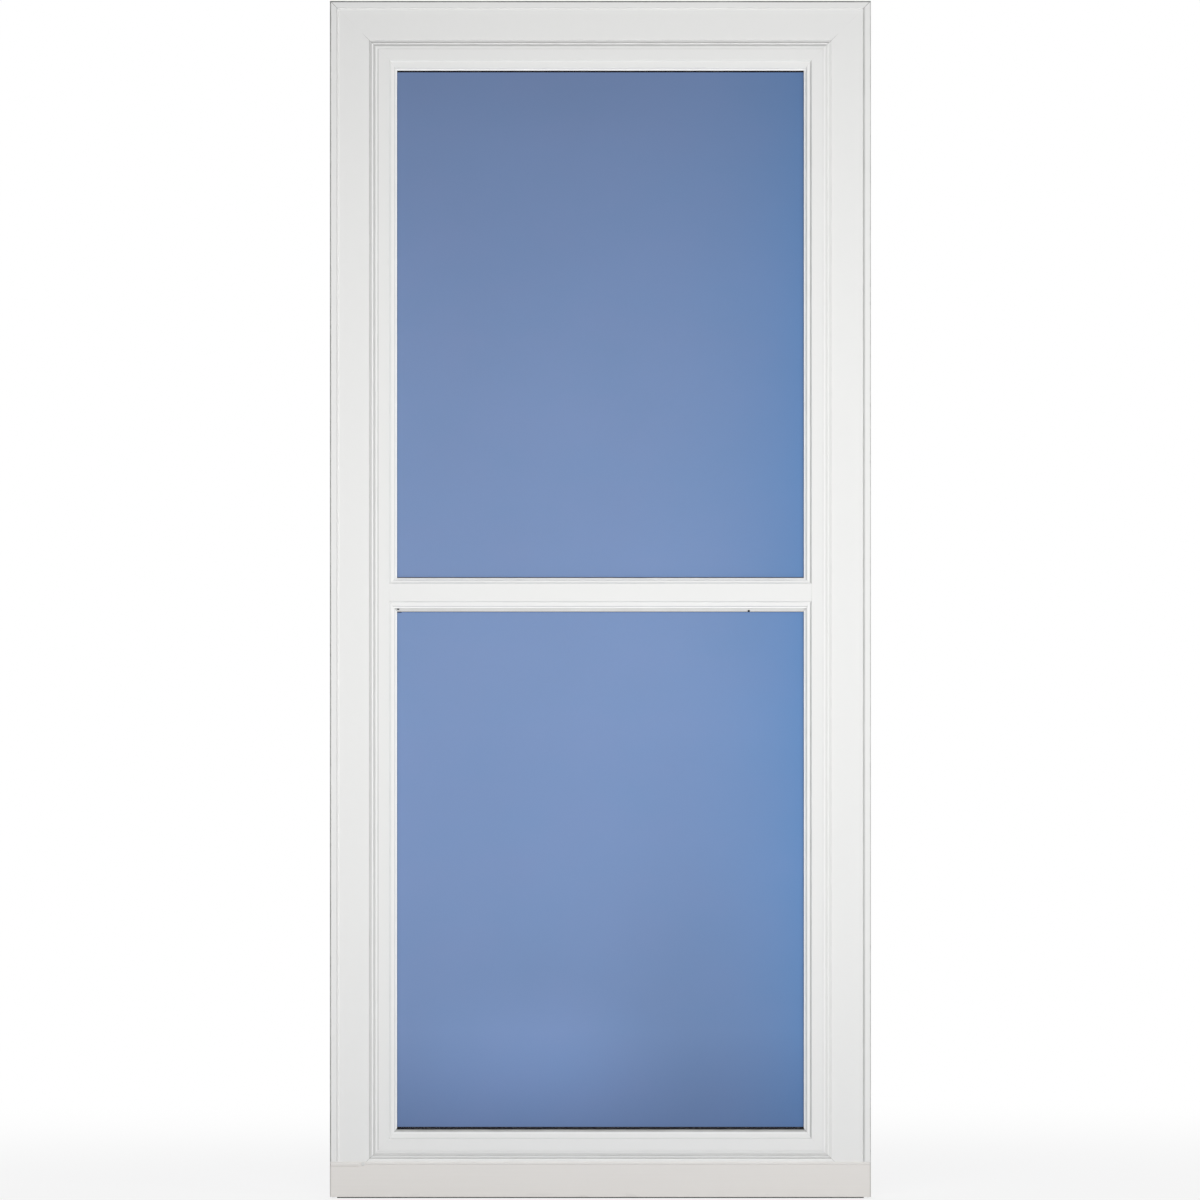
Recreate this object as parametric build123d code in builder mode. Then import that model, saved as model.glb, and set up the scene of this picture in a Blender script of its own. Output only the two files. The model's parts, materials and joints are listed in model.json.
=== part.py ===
from build123d import *
import os

# Storm door: a white aluminium leaf with two panes of glass and an adjustable bottom
# expander, hung inside a slim frame of angle jambs.  Millimetres, +Z up.
#
# The outside face looks along -Y, with +X to the viewer's right, where the hinges are.
# The origin is on the outer face of the hinge jamb, at its foot, on the line of its screws.
#
# Sections are drawn with two distances.  "In" runs from the leaf's edge towards the glass.
# "Deep" runs back from the foremost face, the flat band round the glass, into the doorway.

os.makedirs("parts", exist_ok=True)

# Leaf
leaf_width = 920.0
leaf_height = 2036.0
leaf_thickness = 38.0
mid_rail_bottom = 1015.4
mid_rail_height = 29.4
mid_rail_thickness = 30.0

# Rim lip round the sides and top, and the flat field beside it
rim_front = 3.0
rim_thickness = 4.0
rim_round = 2.4
rim_inner_round = 0.5
groove_wall = 1.4
groove_width = 1.0
groove_below_field = 0.7
field_front = 5.5
back_chamfer = 1.0

# Moulding between the field and the flat band round the glass
moulding_start = 67.0
lower_slope = 4.5
ledge_front = 2.6
ledge_width = 2.0
upper_slope = 4.0
crest_width = 3.6
crest_round = 1.2
quirk = 0.5
band_width = 19.9
band_round = 0.6

# Glass, the beads in front of it and the retainers behind it
side_bead_width = 13.0
top_bead_width = 17.4
sill_bead_width = 10.1
lower_bead_width = 17.9
foot_bead_width = 17.9
side_bead_ledge = 0.6
top_bead_ledge = 0.6
sill_bead_ledge = 0.6
lower_bead_ledge = 5.6
foot_bead_ledge = 3.2
bead_step = 3.2
bead_step_run = 2.6
bead_lip = 1.6
bead_lip_front = 6.6
bead_slope = 2.4
bead_round = 0.5
bead_ledge_front = 9.4
glass_front = 12.0
glass_thickness = 4.0
glass_gap = 3.0
retainer_width = 12.0
retainer_depth = 10.0
retainer_chamfer = 3.0

# Bottom expander, its sweep and its screw
expander_height = 62.0
expander_front_wall = 2.0
expander_wall = 1.5
expander_roll = 1.2
expander_roll_height = 5.0
expander_foot = 2.0
expander_gap = 2.5
sweep_base = 2.0
sweep_side_gap = 2.0
fin_thickness = 2.0
fin_count = 3
expander_screw_in = 56.4
expander_screw_below = 3.7
expander_screw_radius = 3.2
expander_screw_gap = 0.8
expander_screw_head = 2.0

# Frame of angle jambs, set in behind the rim
jamb_setback = 3.5
jamb_wall = 2.0
stop_gap = 5.0
stop_lap = 18.0
swing_room = 13.7
seal_inset = 5.0
seal_width = 6.0
seal_gap = 0.3
screw_radius = 2.5
side_screw_end = 90.0
side_screw_inner_spread = 736.0
head_screw_end = 80.0
head_screw_inner_spread = 280.0

# Hinges
hinge_height = 75.0
hinge_end = 250.0
hinge_plate = 2.0
plate_gap = 2.5
plate_edge = 2.0
pin_radius = 2.0
pin_head = 2.0
pin_clearance = 0.05
knuckle_wall = 1.8
knuckle_gap = 1.0
knuckle_end_gap = 0.4
rim_to_knuckle = 1.5

# Places that follow from the sizes above
rim_width = jamb_setback + jamb_wall + 2 * hinge_plate + plate_gap
rim_back = rim_front + rim_thickness
slope_end = moulding_start + lower_slope
ledge_end = slope_end + ledge_width
crest_start = ledge_end + upper_slope
band_start = crest_start + crest_width
face_width = band_start + band_width
glass_back = glass_front + glass_thickness
retainer_back = glass_back + retainer_depth
edge_right = jamb_setback
edge_left = edge_right - leaf_width
leaf_middle = (edge_left + edge_right) / 2
core_right = edge_right - rim_width
core_left = edge_left + rim_width
core_bottom = rim_width
sight_right = edge_right - face_width
sight_left = edge_left + face_width
sight_top = leaf_height - face_width
sight_bottom = face_width
mid_rail_top = mid_rail_bottom + mid_rail_height
barrel_radius = pin_radius + knuckle_wall
pin_in = rim_width - hinge_plate - knuckle_gap - barrel_radius
pin_deep = rim_back + rim_to_knuckle + barrel_radius
jamb_front = pin_deep + swing_room
stop_front = leaf_thickness + stop_gap
jamb_back = stop_front + jamb_wall
screw_line = (jamb_front + stop_front) / 2
web_in = jamb_setback + jamb_wall
stop_in = rim_width + stop_lap
expander_front = field_front - expander_front_wall
channel_back = leaf_thickness - expander_wall
floor_top = core_bottom - expander_gap
floor_bottom = floor_top - expander_wall


def depth(deep):
    """Y of a depth measured back from the foremost face."""
    return deep - screw_line


def mitre(outer, inner, keep_side):
    """Upright plane through two points (x, z) of a corner, facing the side that stays."""
    run = Vector(inner[0] - outer[0], 0, inner[1] - outer[1])
    facing = run.cross(Vector(0, 1, 0))
    towards = Vector(keep_side[0] - outer[0], 0, keep_side[1] - outer[1])
    if facing.dot(towards) < 0:
        facing = facing * -1
    return Plane(origin=(outer[0], 0, outer[1]), z_dir=facing)


def run_right(x_edge, z_top):
    """Section plane of an upright at the right: inwards is -X, and it runs down."""
    return Plane(origin=(x_edge, depth(0), z_top), x_dir=(-1, 0, 0), z_dir=(0, 0, -1))


def run_left(x_edge, z_bottom):
    """Section plane of an upright at the left: inwards is +X, and it runs up."""
    return Plane(origin=(x_edge, depth(0), z_bottom), x_dir=(1, 0, 0), z_dir=(0, 0, 1))


def run_top(x_left, z_edge):
    """Section plane of a bar at the top: inwards is -Z, and it runs to the right."""
    return Plane(origin=(x_left, depth(0), z_edge), x_dir=(0, 0, -1), z_dir=(1, 0, 0))


def run_bottom(x_right, z_edge):
    """Section plane of a bar at the bottom: inwards is +Z, and it runs to the left."""
    return Plane(origin=(x_right, depth(0), z_edge), x_dir=(0, 0, 1), z_dir=(-1, 0, 0))


# Corners of the leaf, each as the outer point and the point at the beads' outer edge
corner_top_right = ((edge_right, leaf_height), (sight_right, sight_top))
corner_top_left = ((edge_left, leaf_height), (sight_left, sight_top))
corner_bottom_right = ((edge_right, 0), (sight_right, sight_bottom))
corner_bottom_left = ((edge_left, 0), (sight_left, sight_bottom))
right_side = (edge_right, leaf_height / 2)
left_side = (edge_left, leaf_height / 2)
top_side = (leaf_middle, leaf_height)
bottom_side = (leaf_middle, 0)

# Sections of the leaf's members
rim_line = [
    (rim_width, rim_back),
    (0, rim_back),
    (0, rim_front),
    (rim_width, rim_front),
    (rim_width + groove_wall, field_front + groove_below_field),
    (rim_width + groove_wall + groove_width, field_front + groove_below_field),
    (rim_width + groove_wall + groove_width + groove_below_field, field_front),
]
moulding_line = [
    (moulding_start - quirk, field_front),
    (moulding_start, field_front + quirk),
    (slope_end, ledge_front),
    (ledge_end - quirk, ledge_front),
    (ledge_end, ledge_front + quirk),
    (crest_start, 0),
    (band_start - quirk, 0),
    (band_start, quirk),
    (band_start + quirk, 0),
    (face_width, 0),
]
back_line = [
    (face_width, leaf_thickness - back_chamfer),
    (face_width - back_chamfer, leaf_thickness),
    (rim_width + back_chamfer, leaf_thickness),
    (rim_width, leaf_thickness - back_chamfer),
]
stile_section = rim_line + moulding_line + back_line
rail_section = [(core_bottom, field_front)] + moulding_line + back_line
moulding_rounds = [
    ((slope_end, ledge_front), crest_round / 2),
    ((crest_start, 0), crest_round),
    ((face_width, 0), band_round),
]
stile_rounds = moulding_rounds + [
    ((0, rim_front), rim_round),
    ((rim_width, rim_front), rim_inner_round),
]

# Uprights of the leaf.  Their feet are cut back where the expander wraps round them.
stiles = {
    "hinge_stile": (run_right(edge_right, leaf_height), corner_top_right,
                    corner_bottom_right, right_side),
    "latch_stile": (run_left(edge_left, 0), corner_top_left, corner_bottom_left, left_side),
}
for name, (section_plane, upper_corner, lower_corner, side) in stiles.items():
    with BuildPart() as stile:
        with BuildSketch(section_plane) as section:
            with BuildLine():
                Polyline(*stile_section, close=True)
            make_face()
            for corner, radius in stile_rounds:
                fillet(section.vertices().sort_by_distance(corner)[0], radius)
        extrude(amount=leaf_height)
        split(bisect_by=mitre(*upper_corner, side))
        split(bisect_by=mitre(*lower_corner, side))
        with BuildSketch(Plane.XY):
            with Locations((leaf_middle, depth(field_front / 2))):
                Rectangle(leaf_width, field_front)
            with Locations((leaf_middle, depth(leaf_thickness - expander_wall / 2))):
                Rectangle(leaf_width, expander_wall)
            with Locations((edge_right - rim_width / 2, depth(leaf_thickness / 2))):
                Rectangle(rim_width, leaf_thickness)
            with Locations((edge_left + rim_width / 2, depth(leaf_thickness / 2))):
                Rectangle(rim_width, leaf_thickness)
        extrude(amount=expander_height, mode=Mode.SUBTRACT)
    stile.part.label = name
    export_step(stile.part, f"parts/{name}.step")

with BuildPart() as top_rail:
    with BuildSketch(run_top(edge_left, leaf_height)) as section:
        with BuildLine():
            Polyline(*stile_section, close=True)
        make_face()
        for corner, radius in stile_rounds:
            fillet(section.vertices().sort_by_distance(corner)[0], radius)
    extrude(amount=leaf_width)
    split(bisect_by=mitre(*corner_top_left, top_side))
    split(bisect_by=mitre(*corner_top_right, top_side))
top_rail.part.label = "top_rail"
export_step(top_rail.part, "parts/top_rail.step")

with BuildPart() as bottom_rail:
    with BuildSketch(run_bottom(edge_right, 0)) as section:
        with BuildLine():
            Polyline(*rail_section, close=True)
        make_face()
        for corner, radius in moulding_rounds:
            fillet(section.vertices().sort_by_distance(corner)[0], radius)
    extrude(amount=leaf_width)
    split(bisect_by=mitre(*corner_bottom_left, bottom_side))
    split(bisect_by=mitre(*corner_bottom_right, bottom_side))
    with BuildSketch(Plane.XY):
        with Locations((leaf_middle, depth(field_front / 2))):
            Rectangle(leaf_width, field_front)
        with Locations((leaf_middle, depth(leaf_thickness - expander_wall / 2))):
            Rectangle(leaf_width, expander_wall)
    extrude(amount=expander_height, mode=Mode.SUBTRACT)
bottom_rail.part.label = "bottom_rail"
export_step(bottom_rail.part, "parts/bottom_rail.step")

# Meeting rail between the two panes, flush with the band of the stiles
with BuildPart() as mid_rail:
    with BuildSketch(Plane.YZ.offset(sight_left)):
        with Locations((depth(mid_rail_thickness / 2), mid_rail_bottom + mid_rail_height / 2)):
            Rectangle(mid_rail_thickness, mid_rail_height)
    extrude(amount=sight_right - sight_left)
mid_rail.part.label = "mid_rail"
export_step(mid_rail.part, "parts/mid_rail.step")

# Panes, each with the width and the ledge of the beads at its bottom and top
panes = {
    "upper": (mid_rail_top, sight_top, sill_bead_width, sill_bead_ledge,
              top_bead_width, top_bead_ledge),
    "lower": (sight_bottom, mid_rail_bottom, foot_bead_width, foot_bead_ledge,
              lower_bead_width, lower_bead_ledge),
}
for pane, (low, high, bottom_bead, bottom_ledge, top_bead, top_ledge) in panes.items():
    with BuildPart() as glass:
        with BuildSketch(Plane.XZ.offset(-depth(glass_front))):
            with Locations((leaf_middle, (low + high) / 2)):
                Rectangle(sight_right - sight_left - 2 * glass_gap, high - low - 2 * glass_gap)
        extrude(amount=-glass_thickness)
    glass.part.label = f"{pane}_glass"
    export_step(glass.part, f"parts/{pane}_glass.step")

    # Edge of the opening, the sight line of the beads and of the retainers
    opening = {
        "bottom_left": (sight_left, low),
        "bottom_right": (sight_right, low),
        "top_left": (sight_left, high),
        "top_right": (sight_right, high),
    }
    bead_sight = {
        "bottom_left": (sight_left + side_bead_width, low + bottom_bead),
        "bottom_right": (sight_right - side_bead_width, low + bottom_bead),
        "top_left": (sight_left + side_bead_width, high - top_bead),
        "top_right": (sight_right - side_bead_width, high - top_bead),
    }
    retainer_sight = {
        "bottom_left": (sight_left + retainer_width, low + retainer_width),
        "bottom_right": (sight_right - retainer_width, low + retainer_width),
        "top_left": (sight_left + retainer_width, high - retainer_width),
        "top_right": (sight_right - retainer_width, high - retainer_width),
    }
    bars = {
        "left": (run_left(sight_left, low), high - low, side_bead_width, side_bead_ledge,
                 ("bottom_left", "top_left"), (sight_left, (low + high) / 2)),
        "right": (run_right(sight_right, high), high - low, side_bead_width, side_bead_ledge,
                  ("bottom_right", "top_right"), (sight_right, (low + high) / 2)),
        "top": (run_top(sight_left, high), sight_right - sight_left, top_bead, top_ledge,
                ("top_left", "top_right"), (leaf_middle, high)),
        "bottom": (run_bottom(sight_right, low), sight_right - sight_left, bottom_bead,
                   bottom_ledge, ("bottom_left", "bottom_right"), (leaf_middle, low)),
    }
    for place, (bar_plane, length, width, ledge, ends, side) in bars.items():
        lip_end = width - ledge
        lip_start = lip_end - bead_lip
        bead_section = [
            (0, glass_front),
            (0, quirk),
            (bead_step_run, bead_step),
            (lip_start - bead_slope, bead_step + quirk),
            (lip_start, bead_lip_front),
            (lip_end, bead_lip_front),
            (lip_end, bead_ledge_front),
            (width, bead_ledge_front + quirk),
            (width, glass_front),
        ]
        with BuildPart() as bead:
            with BuildSketch(bar_plane) as section:
                with BuildLine():
                    Polyline(*bead_section, close=True)
                make_face()
                fillet(section.vertices().sort_by_distance((lip_end, bead_lip_front))[0], bead_round)
            extrude(amount=length)
            for end in ends:
                split(bisect_by=mitre(opening[end], bead_sight[end], side))
        bead.part.label = f"{pane}_bead_{place}"
        export_step(bead.part, f"parts/{pane}_bead_{place}.step")

        retainer_section = [
            (0, glass_back),
            (retainer_width, glass_back),
            (retainer_width, retainer_back - retainer_chamfer),
            (retainer_width - retainer_chamfer, retainer_back),
            (0, retainer_back),
        ]
        with BuildPart() as retainer:
            with BuildSketch(bar_plane):
                with BuildLine():
                    Polyline(*retainer_section, close=True)
                make_face()
            extrude(amount=length)
            for end in ends:
                split(bisect_by=mitre(opening[end], retainer_sight[end], side))
        retainer.part.label = f"{pane}_retainer_{place}"
        export_step(retainer.part, f"parts/{pane}_retainer_{place}.step")

# Expander: a channel round the foot of the leaf, whose front face runs the leaf's full width
with BuildPart() as bottom_expander:
    with BuildSketch(Plane.YZ.offset(edge_left)):
        with BuildLine():
            Polyline(
                (depth(field_front), expander_foot),
                (depth(expander_front), expander_foot),
                (depth(expander_front), expander_height - expander_roll_height),
                (depth(expander_front - expander_roll), expander_height - expander_roll_height * 0.7),
                (depth(expander_front - expander_roll), expander_height - expander_roll_height * 0.3),
                (depth(expander_front), expander_height),
                (depth(field_front), expander_height),
                close=True,
            )
        make_face()
    extrude(amount=leaf_width)
    with BuildSketch(Plane.YZ.offset(core_left)):
        with BuildLine():
            Polyline(
                (depth(field_front), floor_bottom),
                (depth(leaf_thickness), floor_bottom),
                (depth(leaf_thickness), expander_height),
                (depth(channel_back), expander_height),
                (depth(channel_back), floor_top),
                (depth(field_front), floor_top),
                close=True,
            )
        make_face()
    extrude(amount=core_right - core_left)
    with BuildSketch(Plane.XZ.offset(-depth(expander_front))):
        with Locations((edge_left + expander_screw_in, expander_height - expander_screw_below)):
            Circle(expander_screw_radius + expander_screw_gap)
    extrude(amount=2 * expander_roll, mode=Mode.SUBTRACT)
bottom_expander.part.label = "bottom_expander"
export_step(bottom_expander.part, "parts/bottom_expander.step")

# Vinyl sweep: a strip under the expander's floor with fins that reach the sill
sweep_front = field_front + sweep_side_gap
sweep_back = leaf_thickness - sweep_side_gap
with BuildPart() as bottom_sweep:
    with BuildSketch(Plane.YZ.offset(core_left)):
        with Locations((depth((sweep_front + sweep_back) / 2), floor_bottom - sweep_base / 2)):
            Rectangle(sweep_back - sweep_front, sweep_base)
        with Locations((depth((sweep_front + sweep_back) / 2), floor_bottom / 2)):
            fin_pitch = (sweep_back - sweep_front - fin_thickness) / (fin_count - 1)
            with GridLocations(fin_pitch, 0, fin_count, 1):
                Rectangle(fin_thickness, floor_bottom)
    extrude(amount=core_right - core_left)
bottom_sweep.part.label = "bottom_sweep"
export_step(bottom_sweep.part, "parts/bottom_sweep.step")

# Pan-head screw that holds the expander's front at the latch end
screw_z = expander_height - expander_screw_below
with BuildPart() as expander_screw:
    with BuildSketch(Plane.XZ.offset(-depth(expander_front))):
        with Locations((edge_left + expander_screw_in, screw_z)):
            Circle(expander_screw_radius)
    extrude(amount=expander_screw_head)
    fillet(expander_screw.faces().sort_by(Axis.Y)[0].edges(), expander_screw_head * 0.6)
expander_screw.part.label = "expander_screw"
export_step(expander_screw.part, "parts/expander_screw.step")

# Jambs and head of the frame: an angle whose stop leg laps behind the leaf
jamb_section = [
    (jamb_setback, jamb_front),
    (web_in, jamb_front),
    (web_in, stop_front),
    (stop_in, stop_front),
    (stop_in, jamb_back),
    (jamb_setback, jamb_back),
]
seal_start = rim_width + seal_inset
seal_front = leaf_thickness + seal_gap
seal_section = [
    (seal_start, seal_front),
    (seal_start + seal_width, seal_front),
    (seal_start + seal_width, stop_front),
    (seal_start, stop_front),
]
frame_bars = {
    "hinge_jamb": (run_right(edge_right, leaf_height), leaf_height, (corner_top_right,), right_side),
    "latch_jamb": (run_left(edge_left, 0), leaf_height, (corner_top_left,), left_side),
    "head_jamb": (run_top(edge_left, leaf_height), leaf_width,
                  (corner_top_left, corner_top_right), top_side),
}
side_screws = [
    side_screw_end,
    leaf_height / 2 - side_screw_inner_spread / 2,
    leaf_height / 2 + side_screw_inner_spread / 2,
    leaf_height - side_screw_end,
]
head_screws = [
    edge_left + head_screw_end,
    leaf_middle - head_screw_inner_spread / 2,
    leaf_middle + head_screw_inner_spread / 2,
    edge_right - head_screw_end,
]
screw_places = {
    "hinge_jamb": (Plane(origin=(-jamb_wall, 0, 0), x_dir=(0, 1, 0), z_dir=(1, 0, 0)),
                   [(0, z) for z in side_screws]),
    "latch_jamb": (Plane(origin=(edge_left + jamb_setback, 0, 0), x_dir=(0, 1, 0), z_dir=(1, 0, 0)),
                   [(0, z) for z in side_screws]),
    "head_jamb": (Plane(origin=(0, 0, leaf_height - web_in), x_dir=(1, 0, 0), z_dir=(0, 0, 1)),
                  [(x, 0) for x in head_screws]),
}
for name, (section_plane, length, corners, side) in frame_bars.items():
    screw_plane, places = screw_places[name]
    with BuildPart() as jamb:
        with BuildSketch(section_plane):
            with BuildLine():
                Polyline(*jamb_section, close=True)
            make_face()
        extrude(amount=length)
        for corner in corners:
            split(bisect_by=mitre(*corner, side))
        with BuildSketch(screw_plane):
            with Locations(*places):
                Circle(screw_radius)
        extrude(amount=jamb_wall, mode=Mode.SUBTRACT)
    jamb.part.label = name
    export_step(jamb.part, f"parts/{name}.step")

    with BuildPart() as seal:
        with BuildSketch(section_plane):
            with BuildLine():
                Polyline(*seal_section, close=True)
            make_face()
        extrude(amount=length)
        for corner in corners:
            split(bisect_by=mitre(*corner, side))
    seal.part.label = name.replace("jamb", "weatherstrip")
    export_step(seal.part, f"parts/{seal.part.label}.step")

# Hinges: two knuckles on the frame and one on the leaf, round a pin behind the rim
pin_x = edge_right - pin_in
pin_y = depth(pin_deep)
knuckle_height = (hinge_height - 2 * knuckle_end_gap) / 3
hinges = {"lower": hinge_end, "middle": leaf_height / 2, "upper": leaf_height - hinge_end}
for name, hinge_centre in hinges.items():
    hinge_bottom = hinge_centre - hinge_height / 2
    hinge_top = hinge_centre + hinge_height / 2
    leaf_knuckle_bottom = hinge_bottom + knuckle_height + knuckle_end_gap
    with BuildPart() as leaf_plate:
        with BuildSketch(Plane.XY.offset(hinge_bottom)):
            with Locations((core_right + hinge_plate / 2,
                            depth((pin_deep - barrel_radius + leaf_thickness - plate_edge) / 2))):
                Rectangle(hinge_plate, leaf_thickness - plate_edge - pin_deep + barrel_radius)
        extrude(amount=hinge_height)
        with BuildSketch(Plane.XY.offset(leaf_knuckle_bottom)):
            with Locations((pin_x, pin_y)):
                Circle(barrel_radius)
            with Locations(((pin_x + core_right) / 2,
                            depth(pin_deep - barrel_radius + knuckle_wall / 2))):
                Rectangle(pin_x - core_right, knuckle_wall)
            with Locations((pin_x, pin_y)):
                Circle(pin_radius + pin_clearance, mode=Mode.SUBTRACT)
        extrude(amount=knuckle_height)
    leaf_plate.part.label = f"{name}_hinge_leaf_plate"
    export_step(leaf_plate.part, f"parts/{name}_hinge_leaf_plate.step")

    with BuildPart() as frame_plate:
        plate_front = pin_deep + barrel_radius + knuckle_gap
        with BuildSketch(Plane.XY.offset(hinge_bottom)):
            with Locations((edge_right - web_in - hinge_plate / 2,
                            depth((plate_front + stop_front) / 2))):
                Rectangle(hinge_plate, stop_front - plate_front)
        extrude(amount=hinge_height)
        with BuildSketch(Plane.XY.offset(hinge_bottom), Plane.XY.offset(hinge_top - knuckle_height)):
            with Locations((pin_x, pin_y)):
                Circle(barrel_radius)
            with Locations((edge_right - web_in - hinge_plate / 2,
                            depth((pin_deep + plate_front) / 2))):
                Rectangle(hinge_plate, plate_front - pin_deep)
            with Locations((pin_x, pin_y)):
                Circle(pin_radius, mode=Mode.SUBTRACT)
        extrude(amount=knuckle_height)
    frame_plate.part.label = f"{name}_hinge_frame_plate"
    export_step(frame_plate.part, f"parts/{name}_hinge_frame_plate.step")

    with BuildPart() as pin:
        with BuildSketch(Plane.XY.offset(hinge_bottom)):
            with Locations((pin_x, pin_y)):
                Circle(pin_radius)
        extrude(amount=hinge_height)
        with BuildSketch(Plane.XY.offset(hinge_top)):
            with Locations((pin_x, pin_y)):
                Circle(barrel_radius)
        extrude(amount=pin_head)
        fillet(pin.faces().sort_by(Axis.Z)[-1].edges(), pin_head * 0.6)
    pin.part.label = f"{name}_hinge_pin"
    export_step(pin.part, f"parts/{name}_hinge_pin.step")
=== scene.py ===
import functools
import json
import math

import bmesh
import bpy
from bpy.props import FloatProperty, FloatVectorProperty, IntProperty, PointerProperty
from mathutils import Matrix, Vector


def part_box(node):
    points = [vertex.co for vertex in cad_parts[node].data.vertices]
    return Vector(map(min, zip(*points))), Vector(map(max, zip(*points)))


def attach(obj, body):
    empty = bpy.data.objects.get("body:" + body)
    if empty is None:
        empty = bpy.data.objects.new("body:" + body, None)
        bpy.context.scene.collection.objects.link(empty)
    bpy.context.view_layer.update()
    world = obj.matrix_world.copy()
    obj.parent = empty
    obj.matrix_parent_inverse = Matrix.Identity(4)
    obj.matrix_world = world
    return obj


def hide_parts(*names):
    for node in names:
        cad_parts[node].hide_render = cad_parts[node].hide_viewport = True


bl_info = {
    "name": "Storm door",
    "version": (1, 0, 0),
    "blender": (4, 5, 0),
    "location": "View3D > Sidebar > Storm Door",
    "description": "Finishes, seals and screws of a storm door with two panes",
    "category": "Object",
}

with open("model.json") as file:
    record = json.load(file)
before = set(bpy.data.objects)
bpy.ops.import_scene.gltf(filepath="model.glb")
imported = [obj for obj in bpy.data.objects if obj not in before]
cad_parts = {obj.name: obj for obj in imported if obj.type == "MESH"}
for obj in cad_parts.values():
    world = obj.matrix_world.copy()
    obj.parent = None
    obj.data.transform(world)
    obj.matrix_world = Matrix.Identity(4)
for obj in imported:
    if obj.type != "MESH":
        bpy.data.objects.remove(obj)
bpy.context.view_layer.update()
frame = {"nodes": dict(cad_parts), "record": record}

# Places on the door, in millimetres, read from the solids
MM = 0.001
HINGES = ("lower", "middle", "upper")


def corners(node):
    """Lowest and highest corner of a solid, in millimetres."""
    low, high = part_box(node)
    return [c / MM for c in low], [c / MM for c in high]


LEFT = corners("latch_stile")[0][0]
RIGHT = corners("hinge_stile")[1][0]
TOP = corners("top_rail")[1][2]
MIDDLE = (LEFT + RIGHT) / 2
FRONT = corners("mid_rail")[0][1]
SIGHT_LEFT = corners("mid_rail")[0][0]
SIGHT_RIGHT = corners("mid_rail")[1][0]
FACE = SIGHT_LEFT - LEFT
SIDE_BEAD = corners("upper_bead_left")[1][0] - SIGHT_LEFT
GLASS_FRONT = corners("upper_glass")[0][1]
GLASS_BACK = corners("upper_glass")[1][1]
EXPANDER_TOP = corners("bottom_expander")[1][2]
RIM = corners("bottom_sweep")[0][0] - LEFT
RETAINER_BACK = corners("upper_retainer_left")[1][1]
RETAINER_WIDTH = corners("upper_retainer_left")[1][0] - SIGHT_LEFT

# Each pane's opening, with the widths of the beads at its foot and head
PANES = {}
for pane in ("upper", "lower"):
    low, sill = [corner[2] for corner in corners(f"{pane}_bead_bottom")]
    lintel, high = [corner[2] for corner in corners(f"{pane}_bead_top")]
    PANES[pane] = {"low": low, "high": high, "foot": sill - low, "head": high - lintel}

# The leaf's inner step and the jambs' web, measured in from the leaf's edge
LEDGE = 73.5
JAMB_WEB = 5.5

# Sockets that share a name are found by number
MIX_SHARE, MIX_FIRST, MIX_SECOND, MIX_COLOUR = 0, 6, 7, 2
VECTOR_LOW, VECTOR_HIGH, FLOAT_LOW, FLOAT_HIGH, RANDOM_SEED = 0, 1, 2, 3, 8
RANDOM_FLOAT = 1


# Node trees
class Wire:
    """An output socket that can stand in a sum: each sum adds a Math node."""

    def __init__(self, net, socket):
        self.net = net
        self.socket = socket

    def beside(self, name):
        """Another output of the same node."""
        return Wire(self.net, self.socket.node.outputs[name])

    def __add__(self, other):
        return self.net.maths("ADD", self, other)

    __radd__ = __add__

    def __sub__(self, other):
        return self.net.maths("SUBTRACT", self, other)

    def __rsub__(self, other):
        return self.net.maths("SUBTRACT", other, self)

    def __mul__(self, other):
        return self.net.maths("MULTIPLY", self, other)

    __rmul__ = __mul__

    def __truediv__(self, other):
        return self.net.maths("DIVIDE", self, other)

    def __rtruediv__(self, other):
        return self.net.maths("DIVIDE", other, self)

    def __gt__(self, other):
        return self.net.maths("GREATER_THAN", self, other)

    def __lt__(self, other):
        return self.net.maths("LESS_THAN", self, other)

    def __abs__(self):
        return self.net.maths("ABSOLUTE", self)


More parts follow.
